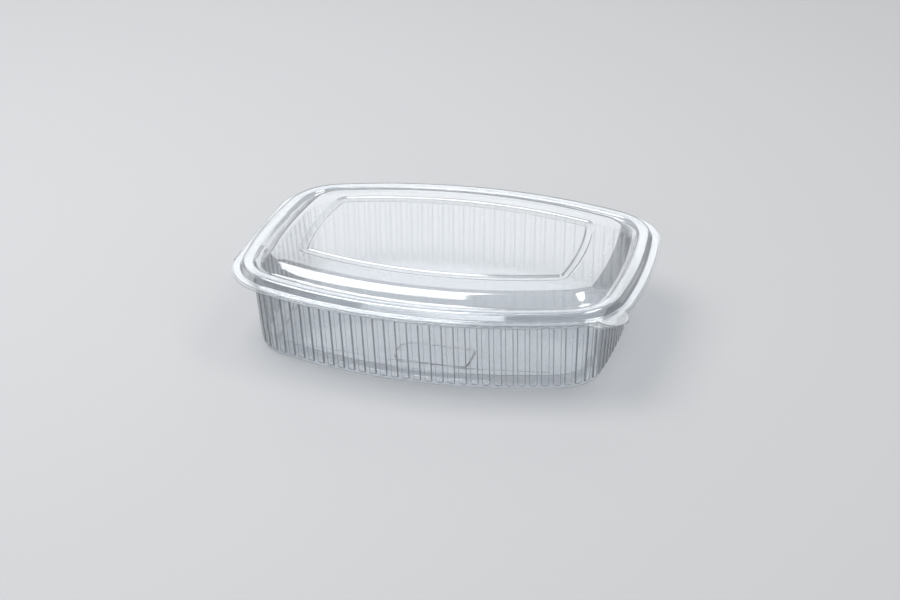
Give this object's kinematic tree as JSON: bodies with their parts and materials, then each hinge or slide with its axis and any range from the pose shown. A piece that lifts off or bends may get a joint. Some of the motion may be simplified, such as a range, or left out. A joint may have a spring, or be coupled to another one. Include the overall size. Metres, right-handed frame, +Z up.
{
  "type": "hinged takeaway meal container",
  "caption": "Empty clear plastic takeaway meal container, shut: a fluted oval-cornered tray with a domed lid on a living hinge.",
  "frame": {"origin": "under the middle of the container's overall box, on the surface it stands on", "axes": "+X away from the hinge towards the side that opens, +Y towards the back, +Z up"},
  "size_m": [0.1784, 0.134, 0.0422],
  "materials": {
    "clear_tray": "clear thermoformed sheet, glossy, faintly blue",
    "clear_lid": "clear thermoformed sheet, glossy, faintly blue"
  },
  "bodies": {
    "tray": {"tray": "clear_tray"},
    "lid": {"lid": "clear_lid"}
  },
  "joints": [
    {"name": "lid_hinge", "type": "hinge", "parent": "tray", "child": "lid", "pos_m": [-0.08925, 0, 0.03495], "axis": [0, -1, 0], "range_deg": [0, 180]}
  ]
}
